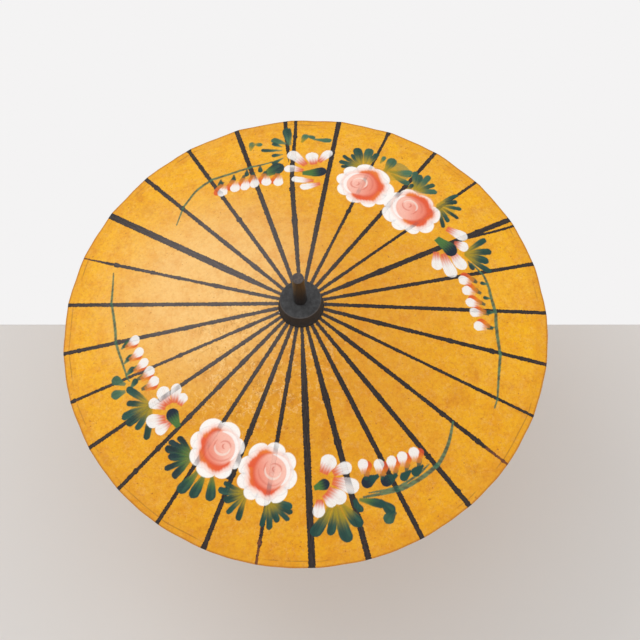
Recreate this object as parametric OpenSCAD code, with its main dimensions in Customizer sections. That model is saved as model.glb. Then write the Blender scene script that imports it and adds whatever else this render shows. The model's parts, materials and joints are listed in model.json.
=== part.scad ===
// Oil paper umbrella, open, standing upright on its pole.
// Millimetres. +Z runs up the pole, and the origin is the bottom end of the handle.
// Every rib lies over its own stretcher. The rib's eye, the joint of the two and the stretcher's
// foot make an isosceles triangle, so the runner slides straight along the pole as the ribs fold.

/* [Canopy] */
// Radius of the open canopy, measured to its rim over a rib
canopy_r = 300; // [280:5:320]
// Number of ribs
rib_count = 28; // [28:28]
// Slope of the open ribs below the horizontal, in degrees
slope = 18; // [16:0.5:20]
// Thickness of the oiled paper
paper_t = 0.4; // [0.3:0.1:0.5]

/* [Ribs] */
// Distance from the rib's eye to its joint with the stretcher, and the stretcher's own length
arm_l = 135; // [125:1:140]
// Width of a rib beside the hub
rib_w = 4.6; // [4.2:0.1:4.8]
// Width of a rib at the rim
rib_tip_w = 3.4; // [3:0.1:4]
// Height of the top of a rib above the line of its pivots
rib_top = 8; // [7.5:0.1:8.4]
// Height of a rib bar beside the hub
rib_h = 4.8; // [4.4:0.1:5]
// Height of a rib bar at the rim
rib_tip_h = 2.8; // [2.4:0.1:3.4]

/* [Stretchers] */
// Width of a stretcher
stretcher_w = 3.2; // [3:0.1:3.4]
// Height of a stretcher
stretcher_h = 5; // [4.4:0.1:5.2]

/* [Hub and runner] */
// Radius of the circle of thread that the eyes hang on, in the hub and in the runner
thread_ring_r = 20; // [20:0.1:20.4]
// Thickness of the thread
thread_d = 1.2; // [1:0.1:1.3]
// Width of a slot for a rib or a stretcher
slot_w = 2.2; // [2.1:0.05:2.3]
// Thickness of the tongues that run in the slots
tongue_w = 1.8; // [1.6:0.05:1.8]
// Radius of the hub where the paper meets it
hub_r = 27.3; // [27:0.1:27.8]
// Radius of the hub's top face
hub_face_r = 24.8; // [24:0.1:27]
// Height of the hub above the ribs' eyes
hub_h = 28; // [26:1:32]

/* [Pole] */
// Height of the ribs' eyes above the bottom of the handle
eye_z = 410; // [405:1:430]
// Radius of the pole
pole_r = 7.5; // [7:0.1:7.6]
// Length of the bare tip above the hub
tip_l = 62; // [50:1:80]
// Radius of the tip at its foot
tip_foot_r = 8; // [7.8:0.1:8.2]
// Radius of the tip at its end
tip_end_r = 7.15; // [6.8:0.05:7.5]
// Length of the grip
grip_l = 104; // [98:1:105]
// Radius of the grip
grip_r = 10; // [9:0.1:11]

/* [Hidden] */
pitch = 360 / rib_count;
rib_names = [for (i = [1 : rib_count]) str("rib_", i < 10 ? "0" : "", i)];
stretcher_names = [for (i = [1 : rib_count]) str("stretcher_", i < 10 ? "0" : "", i)];

$fn = 48;
gap = 0.3;                                // air between the ribs and the paper
bore_gap = 0.05;                          // between the pole and the hub that is pressed on it
slide_gap = 0.35;                         // between the pole and the runner that slides on it
eye_r = thread_d / 2 + 0.1;               // radius of the hole that the thread passes through
rib_head_r = 2.6;                         // radius of the rounded head of a rib
stretcher_head_r = 2.5;                   // radius of each rounded end of a stretcher
neck_l = 9.5;                             // distance from an eye to where the full width begins
foot_z = eye_z - 2 * arm_l * sin(slope);  // height of the stretchers' feet, where the runner is
slot_floor_r = 16.8;                      // radius that the slots are cut in to
stem_r = 12.8;                            // radius of the hub's stem, below its slots
peg_z = eye_z - 8.4;                      // height of the peg that pins the hub to the pole
peg_r = 1.5;                              // radius of that peg
paper_in = rib_top + gap;                 // height of the paper's inner face over the pivot line

// Radius and height of the point that lies s along a rib and h above its line of pivots.
function along_rib(s, h) = [
    thread_ring_r + s * cos(slope) + h * sin(slope),
    eye_z - s * sin(slope) + h * cos(slope)
];
// Distance along a rib at which a line h above the pivots reaches the radius r.
function reach(r, h) = (r - thread_ring_r - h * sin(slope)) / cos(slope);
rib_l = reach(canopy_r - 1.5, rib_top);

// Places what is drawn along +X, from a pivot at the origin, as rib or stretcher number i.
module at_rib(i, z, tilt) {
    rotate([0, 0, i * pitch - 90])
        translate([thread_ring_r, 0, z])
            rotate([0, tilt, 0]) children();
}

// A flat piece drawn in (length, height), w wide, standing on edge along +X.
module on_edge(w) {
    translate([0, w / 2, 0]) rotate([90, 0, 0]) linear_extrude(w) children();
}

// A straight hole across the width of a rib or a stretcher.
module eye(x) {
    translate([x, 0, 0]) rotate([90, 0, 0]) cylinder(r = eye_r, h = 12, center = true);
}

// The ring of thread on which the eyes hang, with an allowance around it.
module thread_ring(z, extra) {
    translate([0, 0, z]) rotate_extrude($fn = 96)
        translate([thread_ring_r, 0]) circle(r = thread_d / 2 + extra, $fn = 24);
}

// The peg across the hub's stem and the pole, with an allowance around it.
module peg(extra) {
    translate([0, 0, peg_z]) rotate([90, 0, 0])
        cylinder(r = peg_r + extra, h = 2 * stem_r + 2 * extra, center = true);
}

// The radial slots for the ribs' heads or the stretchers' feet.
module slots(z_low, z_high) {
    for (i = [0 : rib_count - 1])
        rotate([0, 0, i * pitch - 90])
            translate([slot_floor_r, -slot_w / 2, z_low]) cube([20, slot_w, z_high - z_low]);
}

// One rib: a split bamboo bar, its slotted head and the fork that takes the stretcher.
module rib(i) {
    fork_x = [arm_l - 8, arm_l + 8];
    module bar_side() {
        polygon([
            [neck_l, rib_top - rib_h], [fork_x[0] - 6, rib_top - rib_h],
            [fork_x[1] + 6, rib_top - rib_h], [rib_l, rib_top - rib_tip_h],
            [rib_l, rib_top], [neck_l, rib_top]
        ]);
    }
    module neck_side() {
        circle(r = rib_head_r);
        polygon([
            [0, -rib_head_r], [neck_l - 2, rib_top - rib_h - 3.4], [neck_l + 5, rib_top - rib_h],
            [neck_l + 5, rib_top - 0.6], [neck_l, rib_top - 0.6], [0, rib_head_r]
        ]);
    }
    module fork_side() {
        circle(r = 2.6);
        polygon([
            [-2.6, 0], [2.6, 0], [8, rib_top - rib_h + 0.4], [-8, rib_top - rib_h + 0.4]
        ]);
    }
    color("tan") at_rib(i, eye_z, slope) difference() {
        union() {
            intersection() {
                on_edge(rib_w + 1) bar_side();
                linear_extrude(20) polygon([
                    [neck_l, -rib_w / 2], [rib_l, -rib_tip_w / 2],
                    [rib_l, rib_tip_w / 2], [neck_l, rib_w / 2]
                ]);
            }
            on_edge(tongue_w) neck_side();
            translate([arm_l, 0, 0]) on_edge(rib_w - 0.2) fork_side();
        }
        eye(0);
        translate([arm_l - 9, -slot_w / 2, -4])
            cube([18, slot_w, rib_top - rib_h + 4.1]);
        eye(arm_l);
    }
}

// One stretcher: a bamboo bar with a thin tongue at each end, and the pin of its upper joint.
module stretcher(i) {
    bar_end = arm_l - 12;
    color("burlywood") at_rib(i, foot_z, -slope) {
        difference() {
            union() {
                on_edge(tongue_w) {
                    circle(r = stretcher_head_r);
                    translate([arm_l, 0]) circle(r = stretcher_head_r);
                    translate([0, -stretcher_head_r])
                        square([arm_l, 2 * stretcher_head_r]);
                }
                translate([neck_l, -stretcher_w / 2, -stretcher_h / 2])
                    cube([bar_end - neck_l, stretcher_w, stretcher_h]);
            }
            eye(0);
        }
        translate([arm_l, 0, 0]) rotate([90, 0, 0])
            cylinder(r = thread_d / 2, h = rib_w - 0.2, center = true);
    }
}

// The turned wooden hub, with the ring of thread and the bamboo peg that holds it to the pole.
module top_hub() {
    teeth_z = [eye_z - 4.5, eye_z + 5];
    stem_z = eye_z - 12.4;
    top_z = eye_z + hub_h;
    color("#2f3136") difference() {
        rotate_extrude($fn = 96) polygon([
            [pole_r + bore_gap, stem_z], [stem_r - 0.8, stem_z], [stem_r, stem_z + 0.8],
            [stem_r, teeth_z[0]], [26.4, teeth_z[0]], [26.9, teeth_z[0] + 0.5],
            [26.9, teeth_z[1] + 0.4], [hub_r, teeth_z[1] + 1], [hub_r, teeth_z[1] + 5],
            [hub_r - 0.5, teeth_z[1] + 5.6], [hub_face_r + 0.2, top_z - 0.9],
            [hub_face_r - 0.6, top_z], [pole_r + bore_gap, top_z]
        ]);
        slots(teeth_z[0] - 1, teeth_z[1]);
        thread_ring(eye_z, 0.05);
        peg(bore_gap);
    }
    color("ivory") thread_ring(eye_z, 0);
    color("tan") peg(0);
}

// The runner, which slides on the pole, with its own ring of thread.
module runner() {
    color("#3a2a20") difference() {
        rotate_extrude($fn = 96) polygon([
            [pole_r + slide_gap, foot_z - 30], [12, foot_z - 30], [13, foot_z - 29],
            [13, foot_z - 24], [12.4, foot_z - 23.2], [12.4, foot_z - 15],
            [16, foot_z - 11], [24, foot_z - 9.4], [25.8, foot_z - 8],
            [26.2, foot_z - 6], [26.2, foot_z + 3.7], [25.4, foot_z + 4.5],
            [14.6, foot_z + 4.5], [14.6, foot_z + 8.2], [13.8, foot_z + 9],
            [pole_r + slide_gap, foot_z + 9]
        ]);
        slots(foot_z - 5, foot_z + 20);
        thread_ring(foot_z, 0.05);
    }
    color("ivory") thread_ring(foot_z, 0);
}

// The pole, turned in one piece with the tip above the hub and the grip below.
module pole() {
    hub_top = eye_z + hub_h;
    catch_l = 44;
    catch_top = foot_z - 31;
    color("#5a3a22") difference() {
        union() {
            translate([0, 0, grip_l]) cylinder(r = pole_r, h = hub_top - grip_l);
            translate([0, 0, hub_top + bore_gap])
                rotate_extrude() polygon([
                    [0, -1], [pole_r, -1], [pole_r, 0], [tip_foot_r, 0],
                    [tip_end_r, tip_l - 1], [tip_end_r - 0.8, tip_l - bore_gap],
                    [0, tip_l - bore_gap]
                ]);
            rotate_extrude() polygon([
                [0, 0], [grip_r - 2, 0], [grip_r - 0.6, 0.7], [grip_r, 2], [grip_r, 7],
                [grip_r - 0.8, 8], [grip_r - 0.8, 9.2], [grip_r, 10.2],
                [grip_r, grip_l - 10], [grip_r - 0.8, grip_l - 5], [pole_r + 0.6, grip_l - 1],
                [pole_r, grip_l], [0, grip_l]
            ]);
        }
        peg(bore_gap);
        translate([-1.2, 0.8 - pole_r - 5, catch_top - catch_l]) cube([2.4, 9, catch_l]);
    }
    // The catch: a springy bamboo leaf in a slot under the open runner, drawn pressed in.
    color("tan") translate([-1, 1.6 - pole_r, catch_top - catch_l + 0.2])
        cube([2, 3.1, catch_l - 0.4]);
}

// The oiled paper, stretched flat from rib to rib.
module canopy() {
    hole_s = reach(hub_r + 0.4, paper_in);
    rim_s = reach(canopy_r, paper_in + paper_t);
    corners = [
        along_rib(hole_s, paper_in), along_rib(rim_s, paper_in),
        along_rib(rim_s, paper_in + paper_t), along_rib(hole_s, paper_in + paper_t)
    ];
    points = [
        for (i = [0 : rib_count - 1], c = corners)
            let (a = i * pitch - 90) [c[0] * cos(a), c[0] * sin(a), c[1]]
    ];
    faces = [
        for (i = [0 : rib_count - 1], k = [0 : 3])
            let (j = (i + 1) % rib_count, m = (k + 1) % 4)
                [4 * i + k, 4 * i + m, 4 * j + m, 4 * j + k]
    ];
    color("#e3a52b") polyhedron(points, faces);
}

pole();
top_hub();
runner();
canopy();
for (i = [0 : rib_count - 1]) {
    rib(i);
    stretcher(i);
}
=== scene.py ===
"""Looks for an oil paper umbrella: painted paper, lacquered hub, bamboo and turned wood."""
import json
import math

import bpy
import numpy as np
from mathutils import Matrix, Vector


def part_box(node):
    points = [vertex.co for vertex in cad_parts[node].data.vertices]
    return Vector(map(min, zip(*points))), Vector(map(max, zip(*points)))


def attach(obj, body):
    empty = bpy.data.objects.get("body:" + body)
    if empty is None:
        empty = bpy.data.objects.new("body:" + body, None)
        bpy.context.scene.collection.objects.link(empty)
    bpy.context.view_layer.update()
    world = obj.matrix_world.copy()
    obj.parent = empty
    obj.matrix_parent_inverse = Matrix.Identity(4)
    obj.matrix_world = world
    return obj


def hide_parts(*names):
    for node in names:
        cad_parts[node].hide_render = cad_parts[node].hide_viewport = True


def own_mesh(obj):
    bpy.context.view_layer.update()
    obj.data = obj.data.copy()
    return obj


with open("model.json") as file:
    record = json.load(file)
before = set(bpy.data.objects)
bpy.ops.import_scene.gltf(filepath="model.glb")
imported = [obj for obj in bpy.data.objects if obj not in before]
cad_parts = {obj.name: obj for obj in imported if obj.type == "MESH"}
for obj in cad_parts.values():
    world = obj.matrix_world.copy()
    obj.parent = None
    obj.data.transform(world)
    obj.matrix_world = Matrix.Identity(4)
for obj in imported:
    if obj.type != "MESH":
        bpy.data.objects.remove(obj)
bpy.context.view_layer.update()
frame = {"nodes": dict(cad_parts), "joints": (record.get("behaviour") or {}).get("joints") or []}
scene = bpy.context.scene
MM = 0.001


# ---------------------------------------------------------------- measures from the frame

def measures():
    """The umbrella's own geometry, in metres and radians, read from its joints and nodes."""
    joints = {j["child"]: j for j in frame["joints"]}
    ribs = sorted(body for body in joints if body.startswith("rib_"))
    eye, elbow = (Vector(joints[body]["pos_m"]) for body in (ribs[0], "stretcher_01"))
    foot = Vector(joints["runner"]["pos_m"])
    paper = np.array([v.co for v in frame["nodes"]["canopy"].data.vertices])
    radius = np.hypot(paper[:, 0], paper[:, 1])
    rim, hole = paper[radius.argmax()], paper[paper[:, 2].argmax()]
    return {
        "ribs": ribs,
        "pitch": 2 * math.pi / len(ribs),
        "first": math.atan2(eye.y, eye.x),
        "ring_r": math.hypot(eye.x, eye.y),
        "eye_z": eye.z,
        "foot_z": foot.z,
        "slope": math.atan2(eye.z - elbow.z, math.hypot(elbow.x, elbow.y) - math.hypot(eye.x, eye.y)),
        "rim_r": math.hypot(rim[0], rim[1]),
        "rim_z": rim[2],
        "hole_r": math.hypot(hole[0], hole[1]),
        "hole_z": hole[2],
    }


M = measures()
COS, SIN = math.cos(M["slope"]), math.sin(M["slope"])
HUB_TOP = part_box("top_hub")[1].z
HUB_FACE = max(math.hypot(v.co.x, v.co.y) for v in frame["nodes"]["top_hub"].data.vertices
               if v.co.z > HUB_TOP - 0.1 * MM)
POLE_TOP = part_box("pole")[1].z


# ---------------------------------------------------------------- colours and node trees

def rgb(code):
    """An sRGB hex value as linear red, green and blue."""
    parts = [int(code[i:i + 2], 16) / 255 for i in (1, 3, 5)]
    return [c / 12.92 if c <= 0.04045 else ((c + 0.055) / 1.055) ** 2.4 for c in parts]


def rgba(code):
    return rgb(code) + [1.0]


SMOOTH = {"interpolation_type": "SMOOTHSTEP"}


def plug(tree, node, inputs):
    """Links a node's inputs to sockets, or sets them to plain values. Each goes by name or number."""
    for name, value in inputs.items():
        if isinstance(value, bpy.types.NodeSocket):
            tree.links.new(value, node.inputs[name])
        else:
            node.inputs[name].default_value = value


def add(tree, kind, *inputs, out=0, **named):
    """Adds one shader node, with its settings and links, and returns one of its outputs.

    Inputs come in the node's own order, or by a name that begins with a capital letter, such as
    Scale. The names that begin with a small letter are the node's settings."""
    node = tree.nodes.new("ShaderNode" + kind)
    for name, value in named.items():
        if name[0].islower():
            setattr(node, name, value)
    plug(tree, node, dict(enumerate(inputs)))
    plug(tree, node, {name.replace("_", " "): value for name, value in named.items() if name[0].isupper()})
    return node.outputs[out]


def new_material(name, roughness, **shader):
    """A Principled material, its tree, its shader node and its Object coordinates."""
    mat = bpy.data.materials.new(name)
    mat.use_nodes = True
    tree = mat.node_tree
    principled = tree.nodes["Principled BSDF"]
    principled.inputs["Roughness"].default_value = roughness
    for name, value in shader.items():
        principled.inputs[name.replace("_", " ")].default_value = value
    place = add(tree, "TexCoord", out="Object")
    return mat, tree, principled, place


# ---------------------------------------------------------------- materials

SHEEN_AT = (-0.110, 0.050, 0.38)        # the middle of the paper's painted sheen, where it is drawn paler as if a window's reflection fell on it
CREASE_LIGHT_AT = (-0.055, -0.050, 0.39)     # the middle of its most crinkled part, where painted crease highlights and shade are strongest


def distance_to(tree, place, middle):
    return add(tree, "VectorMath", place, middle, operation="DISTANCE", out="Value")


def line_at(tree, value, middle):
    """How far value is from middle."""
    return add(tree, "Math", add(tree, "Math", value, middle, operation="SUBTRACT"), operation="ABSOLUTE")


def oiled_paper_base(tree, place):
    """Mulberry paper soaked in tung oil: golden ochre, cloudy where the oil took unevenly."""
    cloud = add(tree, "TexNoise", place, Scale=1 / (70 * MM), Detail=4.0, Roughness=0.6)
    ground = add(tree, "MixRGB", add(tree, "MapRange", cloud, 0.36, 0.66, **SMOOTH), rgba("#f2b206"),
                 rgba("#f0b020"))
    squeezed = add(tree, "Mapping", place, Scale=(1.0, 1.5, 1.0))
    for where, size, detail, rough, low, high, share, tint in (
            (place, 20 * MM, 4.0, 0.6, 0.48, 0.72, 0.50, "#eeb040"),        # patches that drank less oil
            (place, 3.6 * MM, 5.0, 0.7, 0.46, 0.66, 0.46, "#cf8810"),       # fibres, drawn coarser than life
            (squeezed, 2.4 * MM, 3.0, 0.7, 0.54, 0.70, 0.50, "#f3bc4c"),    # paler fibres over them
            (place, 34 * MM, 5.0, 0.65, 0.54, 0.72, 0.45, "#cc8212")):      # old stains
        part = add(tree, "TexNoise", where, Scale=1 / size, Detail=detail, Roughness=rough)
        ground = add(tree, "MixRGB", add(tree, "MapRange", part, low, high, 0.0, share, **SMOOTH), ground,
                     rgba(tint))
    return ground


def mottled_with_crease_light(tree, place, ground):
    """Mottles a paper colour, and paints pale highlights and dark shade along the creases of its most
    crinkled part.
    """
    for size, share in ((4.5 * MM, 0.38), (26 * MM, 0.50)):
        mottle = add(tree, "TexNoise", place, Scale=1 / size, Detail=5.0, Roughness=0.7)
        ground = add(tree, "MixRGB", add(tree, "MapRange", mottle, 0.44, 0.64, 0.0, share, **SMOOTH), ground,
                     rgba("#f2dcb8"), blend_type="MULTIPLY")
    crease_light_zone = add(tree, "MapRange", distance_to(tree, place, CREASE_LIGHT_AT), 130 * MM, 40 * MM, 0.22, 1.0,
                  **SMOOTH)
    # Painted light: each crease is drawn with a pale highlight and a dark shade line.
    for size, light, strength in ((10 * MM, "#ffd894", 0.50), (12 * MM, "#a5640c", 0.45)):
        vein = line_at(tree, add(tree, "TexNoise", place, Scale=1 / size, Detail=4.0, Roughness=0.65,
                                 Distortion=1.0), 0.5)
        broken = add(tree, "MapRange", add(tree, "TexNoise", place, Scale=1 / (5 * MM + size / 2),
                                           Detail=2.0), 0.48, 0.58, 0.0, strength, **SMOOTH)
        crease_highlight_and_shade = add(tree, "Math", add(tree, "MapRange", vein, 0.05, 0.01, **SMOOTH), broken,
                     operation="MULTIPLY")
        ground = add(tree, "MixRGB", add(tree, "Math", crease_highlight_and_shade, crease_light_zone, operation="MULTIPLY"), ground,
                     rgba(light))
    return ground


def crinkles(tree, place):
    """Fine soft creases that handling leaves in oiled paper."""
    warp = add(tree, "TexNoise", place, Scale=1 / (9 * MM), Detail=3.0, Distortion=0.6)
    fine = add(tree, "TexNoise", place, Scale=1 / (2.2 * MM), Detail=3.0, Roughness=0.6)
    return add(tree, "Math", warp, add(tree, "Math", fine, 0.35, operation="MULTIPLY"), operation="ADD")


def painted_paper():
    """The outer face: oiled paper, hand-lacquered black lines over the ribs, and painted flowers."""
    mat, tree, principled, place = new_material("oiled_paper_hand_painted", 0.5, Specular_IOR_Level=0.26)
    ground = oiled_paper_base(tree, place)
    radial = add(tree, "Attribute", attribute_name="from_axis", out="Fac")
    inner = add(tree, "MapRange", radial, 0.95, 0.25, **SMOOTH)
    ground = add(tree, "MixRGB", add(tree, "Math", inner, 0.5, operation="MULTIPLY"), ground, rgba("#d68e28"))
    # Painted sheen: the paper is drawn paler and peachier round one spot towards -x and +y, as a window's
    # reflection would leave it.
    sheen_distance = distance_to(tree, place, SHEEN_AT)
    ground = add(tree, "MixRGB", add(tree, "MapRange", sheen_distance, 185 * MM, 40 * MM, 0.0, 0.8, **SMOOTH), ground,
                 rgba("#f6c880"))
    # Painted shade: towards the front the paper is drawn deeper and more saturated, away from its painted
    # sheen.
    front_shade = add(tree, "SeparateXYZ", place, out="Y")
    ground = add(tree, "MixRGB", add(tree, "MapRange", front_shade, 20 * MM, -230 * MM, 0.0, 0.85, **SMOOTH),
                 ground, rgba("#f4ebc6"), blend_type="MULTIPLY")
    ground = mottled_with_crease_light(tree, place, ground)
    # The rim is folded under and glued, so its strip is darker, and the glue's edge shows as a line.
    fold = add(tree, "MapRange", radial, 0.952, 0.958, **SMOOTH)
    ground = add(tree, "MixRGB", add(tree, "Math", fold, 0.22, operation="MULTIPLY"), ground, rgba("#d08416"))
    off_fold = line_at(tree, radial, 0.976)
    broken = add(tree, "MapRange", add(tree, "TexNoise", place, Scale=1 / (45 * MM), Detail=3.0), 0.44, 0.62,
                 0.0, 0.5, **SMOOTH)
    glue = add(tree, "Math", add(tree, "MapRange", off_fold, 0.0035, 0.0005, **SMOOTH), broken,
               operation="MULTIPLY")
    ground = add(tree, "MixRGB", glue, ground, rgba("#84561c"))
    rim = add(tree, "MapRange", radial, 0.99, 0.999, **SMOOTH)
    ground = add(tree, "MixRGB", add(tree, "Math", rim, 0.6, operation="MULTIPLY"), ground, rgba("#9c5a1c"))
    specks = add(tree, "TexNoise", place, Scale=1 / (3.2 * MM), Detail=1.0, Roughness=0.4)
    ground = add(tree, "MixRGB", add(tree, "MapRange", specks, 0.745, 0.775, 0.0, 0.6, **SMOOTH), ground,
                 rgba("#9c5420"))

    ink = add(tree, "Attribute", attribute_name="ink", out="Fac")
    ragged = add(tree, "Math", add(tree, "TexNoise", place, Scale=1 / (2.4 * MM), Detail=3.0, Roughness=0.75),
                 0.5, operation="SUBTRACT")
    edge = add(tree, "Math", ink, add(tree, "Math", ragged, 3.6, operation="MULTIPLY"), operation="ADD")
    covered = add(tree, "MapRange", edge, -0.15, 0.35, **SMOOTH)
    across = add(tree, "Attribute", attribute_name="across", out="Fac")
    along = add(tree, "CombineXYZ", across, add(tree, "Math", radial, 20.0, operation="MULTIPLY"))
    brush = add(tree, "TexNoise", along, Scale=1 / 0.9, Detail=3.0, Roughness=0.6)
    worn = add(tree, "TexNoise", place, Scale=1 / (6.0 * MM), Detail=4.0, Roughness=0.7)
    lacquer = add(tree, "MixRGB", add(tree, "MapRange", brush, 0.36, 0.66, **SMOOTH), rgba("#1c1411"),
                  rgba("#3b302c"))
    lacquer = add(tree, "MixRGB", add(tree, "MapRange", edge, 1.1, 0.2, 0.0, 0.6, **SMOOTH), lacquer,
                  rgba("#130d0b"))
    rub = add(tree, "Attribute", attribute_name="rub", out="Fac")
    rubbed = add(tree, "MapRange", add(tree, "Math", worn, rub, operation="ADD"), 0.86, 1.06, **SMOOTH)
    lacquer = add(tree, "MixRGB", add(tree, "Math", rubbed, 0.85, operation="MULTIPLY"), lacquer,
                  rgba("#7c4524"))
    # Painted sheen on the lacquer lines: they are drawn greyer round the same spot, as a reflection would
    # show.
    lacquer_sheen = add(tree, "MapRange", sheen_distance, 210 * MM, 60 * MM, 0.0, 0.55, **SMOOTH)
    lacquer = add(tree, "MixRGB", add(tree, "Math", lacquer_sheen, brush, operation="MULTIPLY"), lacquer,
                  rgba("#8a8180"))
    face = add(tree, "MixRGB", covered, ground, lacquer)

    # The painting's colour already holds its own cover, so it is added to what it leaves bare.
    laid = add(tree, "Attribute", attribute_name="paint")
    bare = add(tree, "Math", 1.0, add(tree, "Attribute", attribute_name="paint", out="Alpha"),
               operation="SUBTRACT")
    under = add(tree, "MixRGB", 1.0, face, add(tree, "CombineColor", bare, bare, bare), blend_type="MULTIPLY")
    height = add(tree, "Math", crinkles(tree, place), add(tree, "Math", covered, 0.25, operation="MULTIPLY"),
                 operation="ADD")
    plug(tree, principled, {
        "Base Color": add(tree, "MixRGB", 1.0, under, laid, blend_type="ADD"),
        "Roughness": add(tree, "MapRange", ink, -0.3, 0.3, 0.45, 0.38, **SMOOTH),
        "Normal": add(tree, "Bump", Height=height, Distance=2.0 * MM, Strength=0.8)})
    return mat


def inside_paper():
    """The inner face of the oiled paper: the same sheet, unpainted and a little browner."""
    mat, tree, principled, place = new_material("oiled_paper_inside", 0.6)
    ground = oiled_paper_base(tree, place)
    height = crinkles(tree, place)
    plug(tree, principled, {
        "Base Color": add(tree, "MixRGB", 0.25, ground, rgba("#c88430")),
        "Normal": add(tree, "Bump", Height=height, Distance=0.5 * MM, Strength=0.5)})
    return mat


def split_bamboo(name, pale, dark):
    """Split, scraped and waxed bamboo: pale, with fine brown fibres and browner patches."""
    mat, tree, principled, place = new_material(name, 0.5)
    fibre = add(tree, "TexNoise", place, Scale=1 / (1.2 * MM), Detail=4.0, Roughness=0.7)
    tone = add(tree, "TexNoise", place, Scale=1 / (28 * MM), Detail=3.0, Roughness=0.6)
    base = add(tree, "MixRGB", add(tree, "MapRange", tone, 0.35, 0.68, **SMOOTH), rgba(pale), rgba(dark))
    base = add(tree, "MixRGB", add(tree, "MapRange", fibre, 0.48, 0.72, 0.0, 0.5, **SMOOTH), base,
               rgba("#7d5528"))
    plug(tree, principled, {
        "Base Color": base,
        "Roughness": add(tree, "MapRange", fibre, 0.3, 0.7, 0.42, 0.62, **SMOOTH),
        "Normal": add(tree, "Bump", Height=fibre, Distance=0.25 * MM, Strength=0.5)})
    return mat


def from_axis(tree, place):
    """The distance from the pole's axis."""
    flat = add(tree, "VectorMath", place, (1.0, 1.0, 0.0), operation="MULTIPLY")
    return add(tree, "VectorMath", flat, operation="LENGTH", out="Value")


def with_thread(tree, place, base, height):
    """A colour, with undyed twisted cotton on the ring of thread at this height."""
    level = add(tree, "SeparateXYZ", place, out="Z")
    across = line_at(tree, from_axis(tree, place), M["ring_r"])
    near = add(tree, "Math", across, line_at(tree, level, height), operation="MAXIMUM")
    on_ring = add(tree, "MapRange", near, 0.62 * MM, 0.66 * MM, 1.0, 0.0, **SMOOTH)
    twist = add(tree, "TexNoise", place, Scale=1 / (0.8 * MM), Detail=2.0)
    return add(tree, "MixRGB", on_ring, base, add(tree, "MixRGB", twist, rgba("#d8ccb4"), rgba("#a3947a")))


def hub_lacquer():
    """Turned wood under old matt charcoal lacquer, dusty in patches, with its top face painted lighter as if
    lit, its side painted darker as if shaded, and a painted highlight along the face's edge.
    """
    mat, tree, principled, place = new_material("hub_matt_charcoal_lacquer", 0.72)
    level = add(tree, "SeparateXYZ", place, out="Z")
    dust = add(tree, "TexNoise", place, Scale=1 / (4.5 * MM), Detail=5.0, Roughness=0.7)
    blot = add(tree, "TexNoise", place, Scale=1 / (14 * MM), Detail=3.0, Roughness=0.6)
    # Painted light: the top face is drawn lighter, as lit, and the side darker, as shaded.
    face = add(tree, "MapRange", level, HUB_TOP - 1.3 * MM, HUB_TOP - 0.3 * MM, **SMOOTH)
    side = add(tree, "MixRGB", add(tree, "MapRange", dust, 0.4, 0.7, **SMOOTH), rgba("#14100f"),
               rgba("#211a18"))
    top = add(tree, "MixRGB", add(tree, "MapRange", dust, 0.34, 0.7, **SMOOTH), rgba("#262628"),
              rgba("#3f4042"))
    top = add(tree, "MixRGB", add(tree, "MapRange", blot, 0.45, 0.75, 0.0, 0.6, **SMOOTH), top,
              rgba("#232425"))
    base = add(tree, "MixRGB", face, side, top)
    # Painted highlight along the edge of the top face.
    off_lip = line_at(tree, from_axis(tree, place), HUB_FACE + 0.3 * MM)
    high = add(tree, "MapRange", level, HUB_TOP - 1.6 * MM, HUB_TOP - 0.8 * MM, **SMOOTH)
    lip_highlight = add(tree, "Math", add(tree, "MapRange", off_lip, 0.7 * MM, 0.1 * MM, **SMOOTH), high,
              operation="MULTIPLY")
    base = add(tree, "MixRGB", add(tree, "Math", lip_highlight, 0.55, operation="MULTIPLY"), base, rgba("#554c48"))
    turned = add(tree, "TexWave", place, Scale=0.35 / MM, Distortion=1.5, Detail=2.0, wave_type="BANDS",
                 bands_direction="Z", out="Fac")
    height = add(tree, "Math", dust, add(tree, "Math", turned, 0.3, operation="MULTIPLY"), operation="ADD")
    plug(tree, principled, {
        "Base Color": with_thread(tree, place, base, M["eye_z"]),
        "Normal": add(tree, "Bump", Height=height, Distance=0.25 * MM, Strength=0.6)})
    return mat


def stained_wood(name, light, dark):
    """Dark stained, thinly lacquered turned wood with its grain along the pole.

    Returns the material, its tree, its shader node, its coordinates and its colour."""
    mat, tree, principled, place = new_material(name, 0.42, Coat_Weight=0.25, Coat_Roughness=0.25)
    grain = add(tree, "TexNoise", add(tree, "Mapping", place, Scale=(1.0, 1.0, 0.06)), Scale=1 / (1.6 * MM),
                Detail=4.0, Roughness=0.65)
    tone = add(tree, "TexNoise", add(tree, "Mapping", place, Scale=(1.0, 1.0, 0.25)), Scale=1 / (16 * MM),
               Detail=3.0, Roughness=0.6)
    base = add(tree, "MixRGB", add(tree, "MapRange", tone, 0.35, 0.7, **SMOOTH), rgba(dark), rgba(light))
    base = add(tree, "MixRGB", add(tree, "MapRange", grain, 0.5, 0.75, 0.0, 0.6, **SMOOTH), base,
               rgba("#120b08"))
    plug(tree, principled, {
        "Roughness": add(tree, "MapRange", grain, 0.3, 0.7, 0.34, 0.52, **SMOOTH),
        "Normal": add(tree, "Bump", Height=grain, Distance=0.2 * MM, Strength=0.5)})
    return mat, tree, principled, place, base


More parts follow.
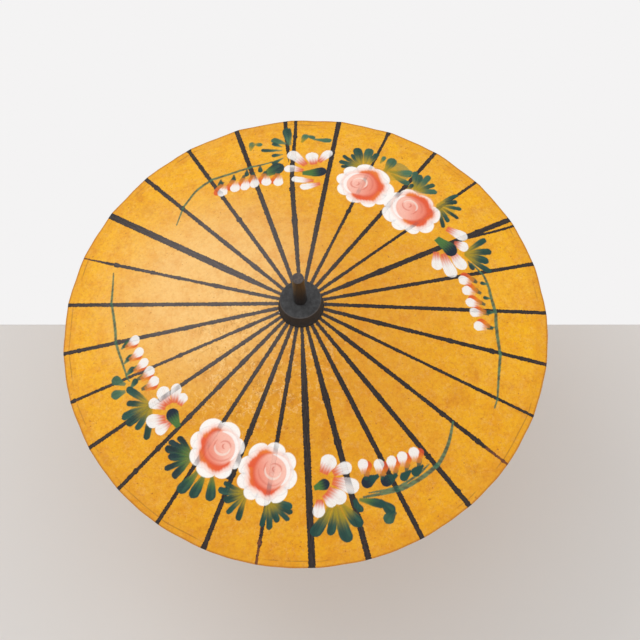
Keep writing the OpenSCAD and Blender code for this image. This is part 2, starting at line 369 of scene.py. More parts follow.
def pole_wood():
    """The pole: dark stained wood whose bare end is worn to a dull grey-brown."""
    mat, tree, principled, place, base = stained_wood("pole_dark_stained_wood", "#20150f", "#120c09")
    level = add(tree, "SeparateXYZ", place, out="Z")
    scuff = add(tree, "TexNoise", place, Scale=1 / (3.0 * MM), Detail=4.0, Roughness=0.7)
    ragged = add(tree, "Math", level, add(tree, "Math", scuff, 3.0 * MM, operation="MULTIPLY"),
                 operation="ADD")
    end = add(tree, "MapRange", ragged, POLE_TOP + 0.2 * MM, POLE_TOP + 1.2 * MM, **SMOOTH)
    face = add(tree, "MixRGB", add(tree, "MapRange", scuff, 0.4, 0.65, **SMOOTH), rgba("#30272a"),
               rgba("#4f443d"))
    plug(tree, principled, {"Base Color": add(tree, "MixRGB", end, base, face)})
    return mat


def runner_wood():
    """The runner: browner stained wood, with its ring of thread."""
    mat, tree, principled, place, base = stained_wood("runner_dark_stained_wood", "#4a2f20", "#2a1a13")
    plug(tree, principled, {"Base Color": with_thread(tree, place, base, M["foot_z"])})
    return mat


def floor_finish():
    """A matt, pale studio floor."""
    mat, tree, principled, place = new_material("studio_floor_matt_paint", 0.85)
    tone = add(tree, "TexNoise", place, Scale=1 / (400 * MM), Detail=2.0)
    plug(tree, principled, {"Base Color": add(tree, "MixRGB", tone, rgba("#d2cfcd"), rgba("#d7d5d3"))})
    return mat


# ---------------------------------------------------------------- the painting

FRONT_RIB = 20              # the painting's own count of ribs reaches this at rib_01
# How much wider, in mm, the brush left some lines on each side, and which lines.
WEIGHTS = ((1.6, (10, 20)), (1.0, (1, 21)), (0.45, (5, 6, 7, 18, 22, 23)), (-0.6, (2, 4, 11, 14, 25)))
RUN_DRY = (11, 19, 24)      # the lines that thin out before the rim
VEERING = 6                 # the line that strays from its rib near the rim
STRAYS = ((6.04, 0.0, 3.1, 0.72), (0.97, -0.12, 2.2, 0.70))     # rib, lean, half width, start


def smooth(x, low, high):
    """0 below low, 1 above high, and smooth between. low may be the larger."""
    s = np.clip((x - low) / (high - low), 0.0, 1.0)
    return s * s * (3 - 2 * s)


def waver(x, y, seed):
    """A gentle repeatable wobble between about -1 and 1, for hand-drawn edges."""
    a = np.sin(x * 0.31 + seed * 1.7) * np.cos(y * 0.27 - seed)
    b = np.sin(x * 0.83 - y * 0.71 + seed * 3.1)
    return 0.6 * a + 0.4 * b


def drift(rib):
    """How far the painter's lines stray from the ribs beneath, in ribs."""
    turn = np.asarray(rib) * M["pitch"]
    return 0.105 * np.cos(turn - 1.12) + 0.045 * np.cos(2 * turn - 5.83)


def paint(code):
    return np.array(rgb(code))


WHITE, CREAM, SHELL = paint("#f8f4f0"), paint("#f4dfd2"), paint("#f6bfae")
PINK, ROSE = paint("#ec917c"), paint("#cf5f4c")
ORANGE, AMBER = paint("#e0501f"), paint("#e67a1a")
TEAL, NAVY, SAGE = paint("#18463e"), paint("#102132"), paint("#4b7556")
MOSS, OLIVE = paint("#4a7434"), paint("#a08c1a")


class Painting:
    """Paint laid on the open cone, unrolled flat.

    A place is a rib number with its fraction, and a share of the rim's radius. An aim is in degrees,
    from the way the ribs count towards the rim."""

    def __init__(self, turn, radius):
        self.turn, self.slant = turn, radius / COS / MM
        self.laid = np.zeros((len(turn), 3))
        self.cover = np.zeros(len(turn))

    def flat(self, rib, share):
        """A place's angle on the unrolled cone, and its distance from the apex in mm."""
        return (rib + drift(rib)) * M["pitch"] * COS, share * M["rim_r"] / COS / MM

    def around(self, rib, share, reach):
        """The points within reach mm of a place, and their x (round) and y (outward) from it."""
        angle, slant = self.flat(rib, share)
        off = (self.turn * COS - angle + math.pi * COS) % (2 * math.pi * COS) - math.pi * COS
        x = self.slant * np.sin(off)
        y = self.slant * np.cos(off) - slant
        near = np.flatnonzero((np.abs(x) < reach) & (np.abs(y) < reach) & (np.abs(off) < 1.2))
        return near, x[near], y[near]

    def lay(self, near, tint, alpha):
        """Lays paint over what is there, as premultiplied colour."""
        a = np.clip(alpha, 0.0, 1.0)
        self.laid[near] = self.laid[near] * (1 - a[:, None]) + tint * a[:, None]
        self.cover[near] = self.cover[near] * (1 - a) + a

    def stroke(self, rib, share, aim, length, width, foot, tip, strength=0.95, foot_width=0.3,
               fade=0.0, bend=0.0, turn_at=(0.30, 0.80)):
        """One press of a round brush from a place: narrow at its foot and round at its tip."""
        seed = rib * 3.7 + aim * 0.05
        near, x, y = self.around(rib, share, length * 1.1 + width)
        a = math.radians(aim)
        u = (x * math.cos(a) + y * math.sin(a)) / length
        v = -x * math.sin(a) + y * math.cos(a) - bend * length * np.clip(u, 0, 1.2) ** 2
        body = width / 2 * (foot_width + (1 - foot_width) * smooth(u, 0.0, 0.72))
        blunt = 1 - min(0.5 * width / length, 0.6)
        tail = np.sqrt(np.clip(1 - (np.clip(u - blunt, 0, 1) / (1 - blunt)) ** 2, 0, 1))
        edge = body * tail - np.abs(v) + 0.30 * waver(x, y, seed)
        inside = smooth(edge, -0.25, 0.65) * smooth(u, 0.0, 0.06) * (u < 1)
        hair = (0.92 + 0.08 * np.sin(v * 4.2 + seed * 9 + 3 * u))[:, None]
        mix = smooth(u + 0.05 * np.sin(v * 1.8 + seed) + 0.02 * np.sin(v * 5.1), *turn_at)[:, None]
        soft = 1 - fade * (1 - smooth(u, 0.0, 0.55))
        self.lay(near, (foot * (1 - mix) + tip * mix) * hair, inside * strength * soft)

    def petal(self, rib, share, aim, length, width, foot=ORANGE * 0.85 + PINK * 0.15, strength=0.98):
        """A white daisy petal that reddens to its foot, with a fine grey line down one side."""
        self.stroke(rib, share, aim, length * 1.04, width * 1.2, foot, WHITE, strength, 0.55, 0.15,
                    turn_at=(0.08, 0.60))
        self.stroke(rib, share, aim + 2, length * 0.96, width * 0.30, CREAM * 0.75, CREAM, 0.30, 0.5, 0.8,
                    bend=0.06)

    def bud(self, rib, share, aim, length=22, width=13):
        """A round white bud on an orange foot, with a green cup behind it."""
        self.stroke(rib, share + 0.012, aim + 12, length * 0.55, width * 0.55, TEAL, MOSS, 0.85, 0.6)
        self.stroke(rib + 0.05, share, aim + 10, length * 0.86, width * 0.9, AMBER, ORANGE, 0.88, 0.55, 0.4)
        self.stroke(rib, share - 0.012, aim, length * 0.84, width, AMBER * 0.5 + CREAM * 0.5, WHITE, 0.96,
                    0.45, 0.7, turn_at=(0.15, 0.45))

    def leaf(self, rib, share, aim, length, width, tip=TEAL, foot=OLIVE, fade=0.45, bend=0.0):
        """One finger of a leaf: yellow-green at its foot, with a dark round tip and a dark edge."""
        self.stroke(rib, share, aim, length, width, foot, tip, 0.99, 0.38, fade, bend,
                    turn_at=(0.22, 0.72))
        self.stroke(rib, share, aim + 4, length * 0.97, width * 0.28, tip * 0.7 + foot * 0.3, tip * 0.8,
                    0.60, 0.4, 0.7, bend)
        self.stroke(rib, share, aim - 6, length * 0.88, width * 0.26, foot, tip * 0.6 + SAGE * 0.4,
                    0.55, 0.4, 0.5, bend)

    def fan(self, rib, share, aims, length, width, tip=TEAL, foot=OLIVE):
        """Fingers from one place, washed together with olive at their feet."""
        middle = sum(aims) / len(aims)
        self.stroke(rib, share, middle, length * 0.74, length * 0.66, foot, foot, 0.50, 0.5, 0.5)
        for k, aim in enumerate(aims):
            reach = length * (0.94 + 0.10 * math.sin(k * 2.3 + rib))
            thick = width * (0.92 + 0.16 * math.sin(k * 1.9 + share * 40))
            self.leaf(rib, share, aim, reach, thick, tip * (1 + 0.25 * math.sin(k * 2.9 + rib)), foot,
                      bend=0.07 * math.sin(k * 1.3 + rib))

    def stem(self, places, width, tint=SAGE, strength=0.9):
        """A brushed line through places, on smooth curves, thick in its middle and thin at its ends."""
        fine = []
        ends = [places[0]] + list(places) + [places[-1]]
        for a, b, c, d in zip(ends, ends[1:], ends[2:], ends[3:]):
            for step in range(8):
                t = step / 8
                fine.append([0.5 * (2 * b[i] + (c[i] - a[i]) * t + (2 * a[i] - 5 * b[i] + 4 * c[i] - d[i])
                                    * t * t + (3 * b[i] - a[i] - 3 * c[i] + d[i]) * t ** 3)
                             for i in (0, 1)])
        fine.append(places[-1])
        rib, share = fine[len(fine) // 2]
        near, x, y = self.around(rib, share, 115)
        angle, slant = self.flat(rib, share)
        points = []
        for place in fine:
            a, s = self.flat(*place)
            points.append((s * math.sin(a - angle), s * math.cos(a - angle) - slant))
        edge = np.full(len(x), -9.0)
        for k, ((x0, y0), (x1, y1)) in enumerate(zip(points, points[1:])):
            dx, dy = x1 - x0, y1 - y0
            u = np.clip(((x - x0) * dx + (y - y0) * dy) / (dx * dx + dy * dy), 0, 1)
            gap = np.hypot(x - x0 - u * dx, y - y0 - u * dy)
            part = (k + u) / (len(points) - 1)
            thick = width / 2 * (0.35 + 0.65 * np.sin(math.pi * np.clip(part, 0.02, 0.98)) ** 0.6)
            edge = np.maximum(edge, thick - gap)
        edge = edge + 0.2 * waver(x * 2, y * 2, rib)
        dark = smooth(waver(x, y, share * 20), -0.6, 0.8)[:, None]
        self.lay(near, tint * (1 - dark) + TEAL * dark, smooth(edge, -0.3, 0.5) * strength)

    def arc(self, near, x, y, middle, radius, width, start, span, tint, strength):
        """A soft curved stroke round middle, thinning to both ends."""
        dx, dy = x - middle[0], y - middle[1]
        r, th = np.hypot(dx, dy), np.degrees(np.arctan2(dy, dx))
        part = ((th - start) % 360) / span
        thick = width / 2 * np.sqrt(np.clip(np.sin(math.pi * np.clip(part, 0, 1)), 0, 1))
        inside = smooth(thick - np.abs(r - radius), -0.5, 0.9) * (part < 1) * (thick > 0.05)
        self.lay(near, tint, inside * strength)

    def rose(self, rib, share, size, lean, heart_aim, lobes, seed, depth=0.25):
        """A blown rose: scalloped white petals, an orange hollow to one side and a rolled pink heart.

        lean is the hollow's way and heart_aim the heart's, and depth is how far and red the hollow goes."""
        near, x, y = self.around(rib, share, size * 1.25)
        r, th = np.hypot(x, y), np.arctan2(y, x)
        lean, heart_aim = math.radians(lean), math.radians(heart_aim)
        wave = th * lobes / 2 + 0.6 * np.sin(th + seed) + 0.35 * np.sin(2 * th - seed)
        scallop = np.abs(np.cos(wave))
        outline = size * (0.80 + 0.16 * scallop ** 0.6 + 0.035 * np.sin(2 * th + seed))
        self.lay(near, WHITE, smooth(outline - r, -0.3, 0.8) * 0.97)
        furrow = (1 - scallop) ** 5 * smooth(r, size * 0.55, size * 0.72)
        self.lay(near, paint("#b9b6bd"), furrow * smooth(outline - r, 0.2, 3.0) * 0.55)
        inner_lobe = size * (0.70 + 0.10 * np.abs(np.cos(wave + 1.2)) ** 0.7)
        line = smooth(np.abs(inner_lobe - r), 1.1, 0.2)
        self.lay(near, paint("#d9cfd0"), line * 0.40)

        cx, cy = 0.14 * size * math.cos(heart_aim), 0.14 * size * math.sin(heart_aim)
        rc, tc = np.hypot(x - cx, y - cy), np.arctan2(y - cy, x - cx)
        side = smooth(np.cos(tc - lean), -0.75, 0.45)
        heart = size * (0.52 + 0.025 * np.sin(2 * tc + seed))
        rough = 0.07 * size * np.sin(4 * tc + seed) * np.sin(3 * tc + 1)
        hollow = heart + side * (size * depth + rough + waver(x * 1.5, y * 1.5, seed))
        self.lay(near, SHELL, smooth(hollow + 0.08 * size - rc, -0.12 * size, 0.06 * size) * 0.6)
        wash = smooth(hollow - rc, -0.06 * size, 0.06 * size) * smooth(side, 0.02, 0.45)
        out = np.clip((rc - heart) / (0.25 * size), 0, 1)
        rust = smooth(1.2 * side - 0.75 * out + 0.35 * np.sin(2.5 * (tc - lean) + seed), 0.0, 1.0)[:, None]
        self.lay(near, AMBER * (1 - rust) + ORANGE * rust, wash * 0.97)
        self.lay(near, ROSE * 0.5 + ORANGE * 0.5, smooth(np.abs(heart + 0.5 - rc), 2.6, 0.4) * side * 0.55)

        inside = smooth(heart - rc, -0.4 - 2.5 * side, 0.9 + 2.5 * side)
        warm = smooth(np.cos(tc - lean) * rc / heart, -0.45, 0.95)[:, None]
        cool_tint = SHELL * (1 - depth) + PINK * depth
        warm_tint = PINK * (1.2 - 2 * depth) + ORANGE * (2 * depth - 0.2)
        self.lay(near, cool_tint * (1 - warm) + warm_tint * warm, inside * 0.98)
        away, ring = math.degrees(lean) + 180, float(heart.mean())
        ex, ey = cx + 0.12 * size * math.cos(heart_aim), cy + 0.12 * size * math.sin(heart_aim)
        for dx, dy, radius, width, start, span, tint, strength in (
                (0.0, 0.0, 1.00 * ring, 5.0, -70, 140, WHITE, 0.85),
                (0.0, 0.02, 0.80 * ring, 3.0, 60, 150, ROSE, 0.40),
                (0.02, 0.0, 0.66 * ring, 3.6, -60, 165, SHELL, 0.85),
                (0.0, -0.03, 0.55 * ring, 2.4, 100, 150, ROSE, 0.55),
                (-0.02, 0.02, 0.47 * ring, 3.4, 20, 200, CREAM, 0.75),
                (0.03, 0.0, 0.37 * ring, 2.4, -120, 150, ROSE, 0.60),
                (0.0, 0.03, 0.27 * ring, 3.2, -30, 190, SHELL, 0.85),
                (0.0, 0.0, 0.15 * ring, 2.2, 110, 170, ROSE, 0.70)):
            follow = 1 - radius / ring
            middle = (cx + (ex - cx) * follow * 1.4 + dx * size, cy + (ey - cy) * follow * 1.4 + dy * size)
            self.arc(near, x, y, middle, radius, width, away + start, span, tint, strength)


def paint_first_garland(p):
    """Over ribs 24 to 9: a stem of buds, a daisy, two roses, a daisy, buds and their stem."""
    p.stem([(24.8, .85), (25.5, .825), (26.1, .805), (26.7, .79), (27.3, .785), (27.75, .78), (28.3, .75)],
           4.6)
    for k in range(4):
        p.leaf(26.6 + 0.36 * k, .785, -100 + 9 * k, 11, 5.5, TEAL, SAGE, 0.2)
    p.fan(0.6, .738, (72, 98, 128, 153), 39, 10.5)
    p.leaf(0.4, .74, 176, 15, 7, NAVY * 0.5 + TEAL * 0.5, TEAL)
    p.fan(2.1, .78, (96, 118, 141, 165, 188, 207), 34, 6.6)
    p.fan(2.75, .765, (58, 76, 94, 112, 130), 36, 8.8, SAGE * 0.4 + TEAL * 0.6)
    p.leaf(2.9, .745, 92, 16, 6)
    p.leaf(3.6, .805, 166, 31, 9, SAGE * 0.6 + TEAL * 0.4)
    p.leaf(3.5, .795, 190, 29, 9, SAGE * 0.5 + TEAL * 0.5)
    p.stroke(3.6, .775, 130, 34, 34, OLIVE, SAGE * 0.6 + OLIVE * 0.4, 0.6, 0.6, 0.3)
    p.leaf(3.55, .80, 150, 30, 9, SAGE)
    p.leaf(3.65, .79, 93, 28, 13, SAGE * 0.6 + TEAL * 0.4)
    p.leaf(3.85, .82, 95, 15, 6, SAGE)
    p.fan(4.22, .775, (-14, 2, 20, 40), 31, 7.2)
    p.leaf(4.2, .775, 61, 36, 12)
    p.leaf(4.15, .785, 83, 33, 12, SAGE * 0.4 + TEAL * 0.6)
    p.leaf(4.1, .79, 102, 26, 8)
    p.leaf(5.72, .875, 112, 17, 9, SAGE, OLIVE, 0.1)
    p.leaf(5.66, .92, -158, 15, 7, SAGE * 0.6 + TEAL * 0.4, SAGE, 0.1)
    p.leaf(5.5, .898, -172, 26, 8, SAGE * 0.8 + TEAL * 0.2, SAGE, 0.1)
    p.leaf(6.05, .87, 34, 23, 10, SAGE * 0.6 + TEAL * 0.4, SAGE, 0.2)
    p.leaf(5.98, .855, 84, 34, 12, TEAL, SAGE, 0.3)
    for share, aim, length in ((.857, 38, 15), (.838, 12, 26), (.815, 3, 14), (.796, -26, 16)):
        p.leaf(6.15, share, aim, length * 1.1, 6.2, TEAL, SAGE, 0.3)
    p.leaf(6.87, .865, 112, 17, 8, SAGE * 0.8 + OLIVE * 0.2, OLIVE, 0.5)
    p.leaf(6.78, .905, -160, 13, 7, SAGE, OLIVE, 0.5)
    p.stem([(6.25, .79), (6.85, .775), (7.3, .782), (7.95, .79), (8.4, .79), (8.8, .763), (9.45, .714)], 4.0)
    for k in range(4):
        p.leaf(6.75 + 0.34 * k, .775, -80 + 6 * k, 13, 6.5, TEAL, TEAL, 0.2)
    p.leaf(6.78, .715, 160, 32, 20, NAVY * 0.5 + TEAL * 0.5, MOSS, 0.2)

    for rib, share, aim in ((26.55, .768, -83), (26.9, .75, -80), (27.15, .742, -74), (27.45, .735, -62),
                            (27.75, .728, -60)):
        p.bud(rib, share, aim)
    for rib, share, aim in ((6.3, .715, -73), (6.65, .728, -77), (6.95, .732, -71), (7.2, .738, -67),
                            (7.45, .748, -62), (7.75, .745, -48)):
        p.bud(rib, share, aim, 23)

    for place in ((0.97, .72, 135, 19, 12), (1.45, .74, 155, 28, 13), (0.93, .63, -155, 25, 12),
                  (0.78, .69, 170, 28, 14), (0.82, .655, -172, 35, 14)):
        p.petal(*place)
    p.stroke(1.33, .672, 168, 33, 19, MOSS, NAVY, 1.0, 0.55)
    for place in ((5.3, .765, 125, 24, 11), (5.15, .645, -20, 26, 9), (5.35, .66, 0, 28, 8.5),
                  (5.65, .715, 10, 25, 10), (5.6, .745, 45, 31, 13), (5.4, .75, 75, 22, 14)):
        p.petal(*place)
    p.stroke(5.72, .70, 175, 32, 16, MOSS, NAVY, 1.0, 0.45)

    p.rose(3.92, .686, 38.5, 175, -10, 9, 1.0)
    p.rose(2.40, .675, 38.5, 145, 40, 8, 2.4)


def paint_second_garland(p):
    """Over ribs 11 to 24: a stem of buds, a daisy, two roses, a daisy, buds and their stem."""
    p.stem([(11.2, .845), (12.0, .806), (12.7, .78), (13.3, .767), (14.1, .746)], 4.0)
    p.leaf(14.15, .765, 137, 21, 12.5, SAGE * 0.5 + TEAL * 0.5, SAGE, 0.2)
    p.leaf(14.3, .775, 98, 20, 12.5, SAGE * 0.7 + TEAL * 0.3, SAGE, 0.2)
    for rib in (13.2, 13.6, 13.95, 14.3):
        p.leaf(rib, .757, -120, 16, 8, TEAL, SAGE, 0.2)
    p.fan(15.0, .70, (152, 130, 106, 86, 62, 40), 42, 10.5)
    p.fan(16.85, .718, (202, 182, 162, 143, 124, 105), 38, 9.8, NAVY * 0.6 + TEAL * 0.4, MOSS)
    p.leaf(17.15, .745, 97, 36, 14, TEAL, MOSS, 0.3, 0.08)
    p.leaf(17.32, .742, 84, 34, 13, TEAL, MOSS, 0.3, 0.08)
    p.leaf(17.5, .735, 62, 32, 13, TEAL, MOSS, 0.3, 0.08)
    p.stroke(17.72, .688, 38, 16, 9, NAVY, NAVY, 0.95, 0.6)
    p.fan(18.5, .75, (190, 168, 146, 122, 98), 35, 8.8)
    p.fan(19.02, .752, (94, 74, 56, 40, 25, 9), 36, 8.2)
    p.stroke(20.65, .765, 92, 34, 40, OLIVE, OLIVE * 0.7 + MOSS * 0.3, 0.62, 0.7, 0.3)
    p.leaf(20.5, .772, 124, 43, 15, TEAL, OLIVE, 0.45, 0.10)
    p.leaf(20.58, .775, 104, 37, 11, TEAL, OLIVE, 0.45, 0.08)
    p.leaf(20.62, .78, 86, 46, 16, TEAL, OLIVE, 0.45, -0.06)
    p.leaf(20.72, .775, 62, 36, 15, TEAL, OLIVE, 0.45, -0.05)
    p.leaf(21.12, .772, 30, 34, 11, TEAL, MOSS, 0.2)
    p.leaf(21.55, .805, 62, 24, 14, TEAL, TEAL, 0.1)
    p.leaf(21.78, .868, 158, 19, 15, SAGE * 0.4 + TEAL * 0.6, TEAL, 0.1)
    p.leaf(21.0, .77, 66, 18, 9, TEAL, TEAL, 0.1)
    p.leaf(21.08, .765, 100, 14, 8, TEAL, TEAL, 0.1)
    p.stem([(21.25, .772), (21.8, .791), (22.45, .806), (23.0, .803), (23.5, .781), (24.0, .735)], 5.6)
    p.stem([(21.4, .765), (21.9, .783), (22.5, .79), (22.9, .782)], 3.4)
    for rib, share, size, tint in ((21.78, .718, 22, NAVY), (22.18, .743, 21, NAVY), (22.5, .762, 16, TEAL),
                                   (22.8, .772, 17, TEAL)):
        p.stroke(rib, share, 175, size * 1.1, size * 0.72, TEAL, tint, 1.0, 0.3)

    for rib, share, aim in ((13.15, .739, -116), (13.5, .732, -110), (13.85, .72, -108), (14.15, .703, -106),
                            (14.45, .704, -98)):
        p.bud(rib, share, aim, 22)
    for rib, share, aim in ((21.42, .705, -73), (21.78, .727, -67), (22.08, .735, -61), (22.37, .745, -61),
                            (22.67, .756, -60)):
        p.bud(rib, share, aim, 22)

    for place in ((15.7, .675, 95, 23, 13), (15.55, .685, 120, 25, 15), (15.3, .66, 147, 23, 11),
                  (15.5, .615, -115, 16, 11), (15.35, .625, -135, 24, 12), (15.3, .645, -172, 25, 15)):
        p.petal(*place)
    p.stroke(16.0, .668, -167, 26, 18, MOSS, NAVY, 1.0, 0.4)
    for place in ((20.25, .745, 100, 21, 13), (20.35, .73, 52, 19, 11), (20.45, .715, 40, 25, 15),
                  (20.65, .66, -17, 24, 13), (20.4, .655, -57, 24, 17), (20.6, .685, 23, 32, 16)):
        p.petal(*place)
    p.stroke(20.12, .702, -13, 20, 14.5, MOSS, NAVY, 1.0, 0.45)

    p.rose(18.88, .659, 39.5, 155, -40, 9, 4.2, 0.17)
    p.rose(17.27, .64, 38.0, 135, -45, 8, 5.5, 0.18)


def lacquer_lines(turn, radius):
    """The black lines over the ribs, at points of the paper.

    Returns how far each point lies across its line, its distance from the line's middle and the
    line's half width there, all in mm, and how worn the line is."""
    ribs = len(M["ribs"])
    counted = turn / M["pitch"] + FRONT_RIB
    numbers = np.round(counted - drift(counted))
    away = radius / M["rim_r"]
    veer = np.where(numbers % ribs == VEERING, 0.16 * smooth(away, 0.6, 1.0), 0.0)
    across = (counted - numbers - drift(numbers) + veer) * M["pitch"] * radius / MM
    distance = np.abs(across)
    numbers = numbers % ribs
    weight = np.select([np.isin(numbers, own) for extra, own in WEIGHTS],
                       [extra for extra, own in WEIGHTS], 0.0) * smooth(away, 0.10, 0.40)
    blots = 0.9 * smooth(waver(away * 130, numbers * 7.0, 5.0), 0.60, 0.80) * smooth(away, 0.15, 0.25)
    bold = weight + blots + 0.22 * waver(away * 40 + numbers * 3, numbers * 1.7, 2.0)
    taper = 0.35 * smooth(away, 0.3, 0.1)
    shown = 2.65 + bold - taper
    dry = np.isin(numbers, RUN_DRY)
    shown = shown - dry * 1.1 * smooth(away, 0.84, 0.97)
    shown = shown - (numbers == VEERING) * 1.1 * smooth(away, 0.76, 0.9)
    for line, lean, half, start in STRAYS:
        aside = (counted - line - drift(line) - lean * smooth(away, start, 1.0) + ribs / 2) % ribs - ribs / 2
        aside = np.abs(aside) * M["pitch"] * radius / MM
        stroke_half = half * smooth(away, start, start + 0.14) - 0.5
        closer = stroke_half - aside > shown - distance
        shown = np.where(closer, stroke_half, shown)
        distance = np.where(closer, aside, distance)
    rub = 0.34 * smooth(away, 0.72, 0.98) * (0.5 + 0.5 * np.sin(numbers * 3.7))
    rub = rub + dry * 0.25 * smooth(away, 0.8, 0.95)
    return across, distance, shown, rub


def ghosts(p, distance, shown):
    """The black rib lines, showing greyly through the paint that crosses them."""
    through = smooth(distance, shown + 0.7, shown - 0.7)
    patchy = smooth(waver(p.slant * 0.33, p.turn * 40, 4.0), -0.2, 0.9)
    pale = np.clip(p.laid.mean(1) * 1.6, 0, 1)
    grey = paint("#57505a")
    share = (through * (0.08 + 0.55 * patchy) * p.cover * pale)[:, None]
    p.laid = p.laid * (1 - share) + grey * share * p.cover[:, None]


# ---------------------------------------------------------------- the paper

PAPER_T = 0.4 * MM
SAG = 0.8 * MM              # how far the paper hangs half way between two ribs
COLUMNS = 42                # of the outer face, from a rib to the middle of the gap
WALLS = 4                   # the closed sheet's last faces, one along each of its sides
BACK_ROWS, BACK_COLUMNS = 40, 6
FLOWERS = (0.50, 0.955)     # the shares of the rim's radius between which there is paint
CELL = 0.85 * MM            # the mesh's row height there, small enough for the finest stroke


def rows():
    """Radii of the mesh's rows: fine where there is paint, and coarse elsewhere."""
    low, high = (share * M["rim_r"] for share in FLOWERS)
    inner = np.linspace(M["hole_r"], low, 14)
    painted = np.linspace(low, high, int((high - low) / CELL))
    return np.concatenate([inner, painted[1:], np.linspace(high, M["rim_r"], 8)[1:]])


def paper_points(rib, side, radius, share, depth=0.0):
    """Points of the paper between one rib and half way to the next, depth below its outer face."""
    own = M["first"] + rib * M["pitch"]
    other = own + side * M["pitch"]
    near_rim = smooth(radius, M["rim_r"] - 16 * MM, M["rim_r"])
    chord = np.hypot((1 - share) * math.cos(own) + share * math.cos(other),
                     (1 - share) * math.sin(own) + share * math.sin(other))
    middle = own + side * M["pitch"] * share
    snip = (0.45 + 0.30 * np.sin(middle * 11) + 0.22 * np.sin(middle * 47 + 2)) * MM * np.sin(math.pi * share)
    reach = radius * (1 + near_rim * (1 / chord - 1)) - near_rim * snip
    level = M["hole_z"] + (M["rim_z"] - M["hole_z"]) * (reach - M["hole_r"]) / (M["rim_r"] - M["hole_r"])
    x = reach * ((1 - share) * math.cos(own) + share * math.cos(other))
    y = reach * ((1 - share) * math.sin(own) + share * math.sin(other))
    ripple = 0.16 * MM * np.sin(x * 210 + 1.3 * np.sin(y * 90)) * np.sin(y * 170 + 0.7)
    open_share = smooth(radius, M["hole_r"], M["rim_r"] * 0.4)
    drop = np.sin(math.pi * share) * (SAG + ripple) * open_share + depth
    lean = SIN * drop
    return np.stack([x - lean * np.cos(middle), y - lean * np.sin(middle), level - drop * COS], -1)


def grid_faces(count_rows, count_columns, start, flip):
    """Quads of a grid of points that are numbered row by row."""
    faces = []
    for r in range(count_rows - 1):
        for c in range(count_columns - 1):
            a = start + r * count_columns + c
            quad = (a, a + 1, a + count_columns + 1, a + count_columns)
            faces.append(quad[::-1] if flip else quad)
    return faces


def border(count_rows, count_columns, start):
    """The four edges of a grid, as lists of point numbers: first column, last column, first row, last row."""
    index = np.arange(count_rows * count_columns).reshape(count_rows, count_columns) + start
    return index[:, 0].tolist(), index[:, -1].tolist(), index[0].tolist(), index[-1].tolist()


def half_gore(rib, side, radii):
    """One closed sheet of paper from a rib to the middle of the gap: points, faces, outer points' radii."""
    share = np.linspace(0.0, 0.5, COLUMNS + 1)
    back_radii = np.linspace(radii[0], radii[-1], BACK_ROWS + 1)
    back_share = np.linspace(0.0, 0.5, BACK_COLUMNS + 1)
    r, s = (a.ravel() for a in np.meshgrid(radii, share, indexing="ij"))
    rb, sb = (a.ravel() for a in np.meshgrid(back_radii, back_share, indexing="ij"))
    top = paper_points(rib, side, r, s)
    back = paper_points(rib, side, rb, sb, PAPER_T)
    flip = side < 0
    faces = grid_faces(len(radii), len(share), 0, not flip)
    faces += grid_faces(len(back_radii), len(back_share), len(top), flip)
    for k, (up, down) in enumerate(zip(border(len(radii), len(share), 0),
                                       border(len(back_radii), len(back_share), len(top)))):
        wall = up + down[::-1]
        faces.append(tuple(wall if (k in (0, 3)) != flip else wall[::-1]))
    return np.concatenate([top, back]), faces, r


def paper_mesh(name, points, faces, materials):
    """A half gore's mesh: the outer grid has the first material, and the walls keep sharp edges."""
    mesh = bpy.data.meshes.new(name)
    mesh.from_pydata(points.tolist(), [], faces)
    for material in materials:
        mesh.materials.append(material)
    index = np.ones(len(mesh.polygons), np.int32)
    index[:len(faces) - BACK_ROWS * BACK_COLUMNS - WALLS] = 0
    mesh.polygons.foreach_set("material_index", index)
    rounded = np.ones(len(mesh.polygons), bool)
    rounded[-WALLS:] = False
    mesh.polygons.foreach_set("use_smooth", rounded)
    edges = np.array([loop.edge_index for wall in mesh.polygons[-WALLS:]
                      for loop in mesh.loops[wall.loop_start:wall.loop_start + wall.loop_total]])
    sharp = np.zeros(len(mesh.edges), bool)
    sharp[edges] = True
    mesh.edges.foreach_set("use_edge_sharp", sharp)
    return mesh


def store(mesh, name, values, spare):
    """Puts a number or a colour on each of the mesh's outer points, and spare on its inner ones."""
    kind, field = ("FLOAT_COLOR", "color") if values.ndim == 2 else ("FLOAT", "value")
    inner = np.full((len(mesh.vertices) - len(values),) + values.shape[1:], spare)
    layer = mesh.attributes.new(name, kind, "POINT")
    layer.data.foreach_set(field, np.concatenate([values, inner]).astype(np.float32).ravel())


def build_paper(outer, inner):
    """Fifty-six half gores, one to each side of every rib, painted as one canopy."""
    radii = rows()
    sides = [(rib, side) for rib in range(len(M["ribs"])) for side in (1, -1)]
    built = [half_gore(rib, side, radii) for rib, side in sides]
    places = np.concatenate([points[:len(r)] for points, faces, r in built])
    radius = np.concatenate([r for points, faces, r in built])
    turn = (np.arctan2(places[:, 1], places[:, 0]) - M["first"]) % (2 * math.pi)

    painting = Painting(turn + M["pitch"] * FRONT_RIB, radius)
    paint_first_garland(painting)
    paint_second_garland(painting)
    across, distance, shown, rub = lacquer_lines(turn, radius)
    ghosts(painting, distance, shown)
    facts = (("paint", np.column_stack([painting.laid, painting.cover]), 0.0),
             ("ink", shown - distance, -9.0), ("rub", rub, 0.0), ("across", across, 0.0),
             ("from_axis", radius / M["rim_r"], 1.0))

    pieces, start = [], 0
    for (rib, side), (points, faces, r) in zip(sides, built):
        name = f"paper_{rib + 1:02d}_{'left' if side > 0 else 'right'}"
        mesh = paper_mesh(name, points, faces, (outer, inner))
        for fact, values, spare in facts:
            store(mesh, fact, values[start:start + len(r)], spare)
        mesh.update()
        start += len(r)
        piece = bpy.data.objects.new(name, mesh)
        scene.collection.objects.link(piece)
        hang(piece, rib)
        pieces.append(piece)
    return pieces


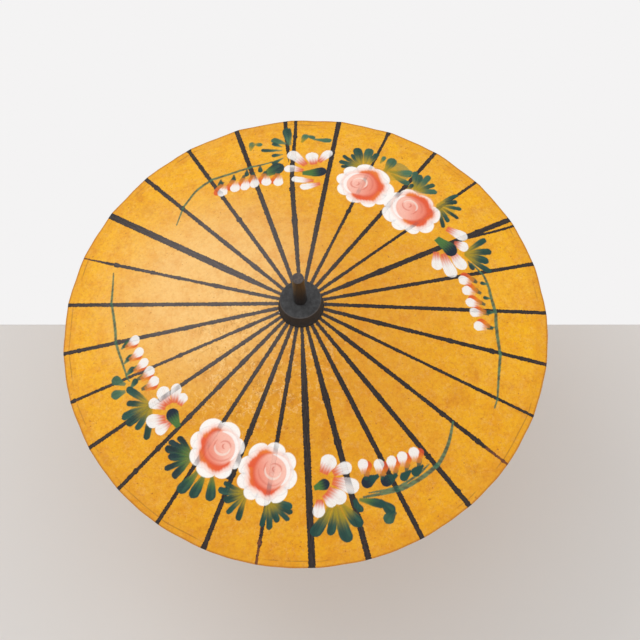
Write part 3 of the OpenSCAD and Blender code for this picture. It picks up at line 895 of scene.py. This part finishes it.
def hang(piece, rib):
    """Lets a half gore ride on its rib."""
    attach(piece, M["ribs"][rib])
    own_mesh(piece)


# ---------------------------------------------------------------- stage, lights and camera

BACKDROP_EDGE, BACKDROP_TURN = (0.0, 0.152), -4.71      # metres and degrees
BACKDROP_SIZE = 8.0
FLOOR_SIZE = 14


def build_stage():
    bpy.ops.mesh.primitive_plane_add(size=FLOOR_SIZE, location=(0, 0, -0.0005))
    floor = bpy.context.object
    floor.name = "studio_floor"
    floor.data.materials.append(floor_finish())


def build_backdrop():
    """A white glowing sheet on the floor behind the canopy."""
    turn, half = math.radians(BACKDROP_TURN), BACKDROP_SIZE / 2
    bpy.ops.mesh.primitive_plane_add(size=BACKDROP_SIZE, rotation=(0, 0, turn), location=(
        BACKDROP_EDGE[0] - half * math.sin(turn), BACKDROP_EDGE[1] + half * math.cos(turn), 0.0005))
    sheet = bpy.context.object
    sheet.name = "studio_backdrop"
    mat = new_material("studio_backdrop_white_lightbox", 0.9, Base_Color=rgba("#000000"),
                       Specular_IOR_Level=0.0, Emission_Color=rgba("#f4f3f3"), Emission_Strength=1.0)[0]
    sheet.data.materials.append(mat)


def area_light(name, place, target, size, power, tint):
    light = bpy.data.lights.new(name, "AREA")
    light.size, light.energy, light.color = size, power, tint
    lamp = bpy.data.objects.new(name, light)
    lamp.location = place
    lamp.rotation_euler = (Vector(target) - Vector(place)).to_track_quat("-Z", "Y").to_euler()
    scene.collection.objects.link(lamp)


def build_lights():
    area_light("key", (-1.5, 1.3, 2.6), (0, 0, 0.3), 1.8, 20, (1.0, 0.985, 0.96))
    area_light("fill", (1.8, -1.6, 1.8), (0, 0, 0.2), 2.4, 9, (1.0, 0.99, 0.97))
    world = bpy.data.worlds.new("studio")
    world.use_nodes = True
    back = world.node_tree.nodes["Background"]
    back.inputs["Color"].default_value = rgba("#fdfcfb")
    back.inputs["Strength"].default_value = 0.92
    scene.world = world
    scene.view_settings.view_transform = "Standard"


def build_camera():
    """A long lens above the front of the canopy, rolled a little, so that the disc fills the view."""
    azimuth, elevation, roll = math.radians(1.8), math.radians(66.9), math.radians(-6.0)
    distance, target = 2.693, Vector((0, 0, 0.36))
    back = Vector((math.sin(azimuth) * math.cos(elevation), -math.cos(azimuth) * math.cos(elevation),
                   math.sin(elevation)))
    right = Vector((0, 0, 1)).cross(back).normalized()
    up = back.cross(right)
    right, up = (right * math.cos(roll) + up * math.sin(roll), up * math.cos(roll) - right * math.sin(roll))
    pan = right * 0.0202 + up * 0.0057
    camera = bpy.data.cameras.new("camera")
    camera.sensor_width, camera.lens = 36, 123.75
    camera.clip_end = 50
    eye = bpy.data.objects.new("camera", camera)
    eye.matrix_world = Matrix.Translation(target + back * distance + pan) @ Matrix(
        (right, up, back)).transposed().to_4x4()
    scene.collection.objects.link(eye)
    scene.camera = eye


def wear(node, material):
    """Gives a CAD node its finish."""
    slots = frame["nodes"][node].material_slots
    if not slots:
        frame["nodes"][node].data.materials.append(material)
    for slot in frame["nodes"][node].material_slots:
        slot.material = material


build_camera()
build_stage()
build_backdrop()
build_lights()

wear("top_hub", hub_lacquer())
wear("pole", pole_wood())
wear("runner", runner_wood())
rib_bamboo = split_bamboo("rib_split_bamboo", "#c79a5a", "#a87840")
stretcher_bamboo = split_bamboo("stretcher_split_bamboo", "#cfa566", "#b08046")
for body in M["ribs"]:
    wear(body, rib_bamboo)
    wear(body.replace("rib", "stretcher"), stretcher_bamboo)

gores = build_paper(painted_paper(), inside_paper())
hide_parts("canopy")
